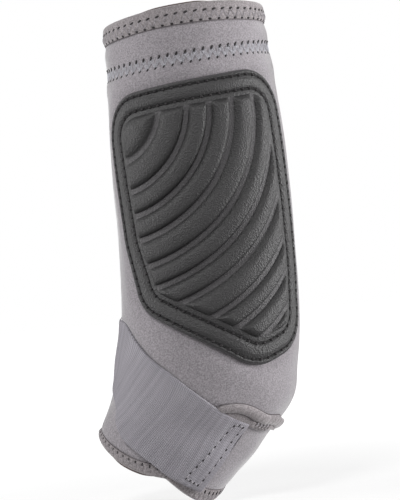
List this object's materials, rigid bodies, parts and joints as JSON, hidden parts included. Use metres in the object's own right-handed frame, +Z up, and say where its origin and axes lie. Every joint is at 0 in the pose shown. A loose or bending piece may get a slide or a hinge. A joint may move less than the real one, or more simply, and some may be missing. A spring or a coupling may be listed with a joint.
{
  "type": "horse leg boot",
  "caption": "Wrap-around neoprene boot for a horse's cannon and fetlock, with ribbed strike pad, sling strap and peel-off closure tabs.",
  "frame": {"origin": "on the leg's centre line through the cannon, level with the lowest edge of the sling lobe", "axes": "+Z up the cannon bone, -X to the front of the leg, -Y to the inner side with the strike pad, +Y to the outer side with the closures"},
  "size_m": [0.1193, 0.0914, 0.2748],
  "materials": {
    "neoprene_fabric": "brushed knit over neoprene, matt grey",
    "lining_fabric": "smooth dark knit, matt",
    "edge_tape": "stretch binding tape, matt grey",
    "pad_leatherette": "fine-grained leatherette, semi-matt dark grey",
    "strap_elastic": "ribbed woven elastic, matt grey",
    "loop_pile": "loop pile, matt grey",
    "hook_pile": "moulded hooks, dark"
  },
  "bodies": {
    "boot_body": {"shell_main": "neoprene_fabric", "lining_main": "lining_fabric", "shell_sling_lobe": "neoprene_fabric", "lining_sling_lobe": "lining_fabric", "rim_binding_main": "edge_tape", "mouth_binding_main": "edge_tape", "mouth_binding_sling": "edge_tape", "tail_binding": "edge_tape", "dart_binding": "edge_tape", "sling_seam_tape": "edge_tape", "strike_pad_base": "pad_leatherette", "strike_pad_moulding": "pad_leatherette", "sling_strap": "strap_elastic", "lower_loop_patch": "loop_pile", "middle_loop_patch": "loop_pile", "upper_loop_patch": "loop_pile"},
    "closure_flap": {"shell_flap": "neoprene_fabric", "lining_flap": "lining_fabric", "rim_binding_flap": "edge_tape", "mouth_binding_flap": "edge_tape", "flap_edge_binding": "edge_tape", "lower_tab_anchor": "neoprene_fabric", "middle_tab_anchor": "neoprene_fabric", "upper_tab_anchor": "neoprene_fabric", "sling_strap_loop": "loop_pile"},
    "lower_tab": {"lower_closure_tab": "neoprene_fabric", "lower_hook_patch": "hook_pile"},
    "middle_tab": {"middle_closure_tab": "neoprene_fabric", "middle_hook_patch": "hook_pile"},
    "upper_tab": {"upper_closure_tab": "neoprene_fabric", "upper_hook_patch": "hook_pile"},
    "strap_end": {"sling_strap_end": "strap_elastic", "sling_strap_hook": "hook_pile"}
  },
  "joints": [
    {"name": "flap_fold", "type": "hinge", "parent": "boot_body", "child": "closure_flap", "pos_m": [-0.07025, 0, 0.04213], "axis": [0.0957, 0, 0.9954], "range_deg": [0, 100]},
    {"name": "lower_tab_peel", "type": "hinge", "parent": "closure_flap", "child": "lower_tab", "pos_m": [0.02406, 0.0425, 0.0851], "axis": [0, 0, 1], "range_deg": [0, 100]},
    {"name": "middle_tab_peel", "type": "hinge", "parent": "closure_flap", "child": "middle_tab", "pos_m": [0.02709, 0.03968, 0.15128], "axis": [0, 0, 1], "range_deg": [0, 100]},
    {"name": "upper_tab_peel", "type": "hinge", "parent": "closure_flap", "child": "upper_tab", "pos_m": [0.02585, 0.03923, 0.216], "axis": [0, 0, 1], "range_deg": [0, 100]},
    {"name": "sling_strap_peel", "type": "hinge", "parent": "closure_flap", "child": "strap_end", "pos_m": [-0.06019, 0, 0.07134], "axis": [0.1836, 0, 0.983], "range_deg": [0, 100]}
  ]
}
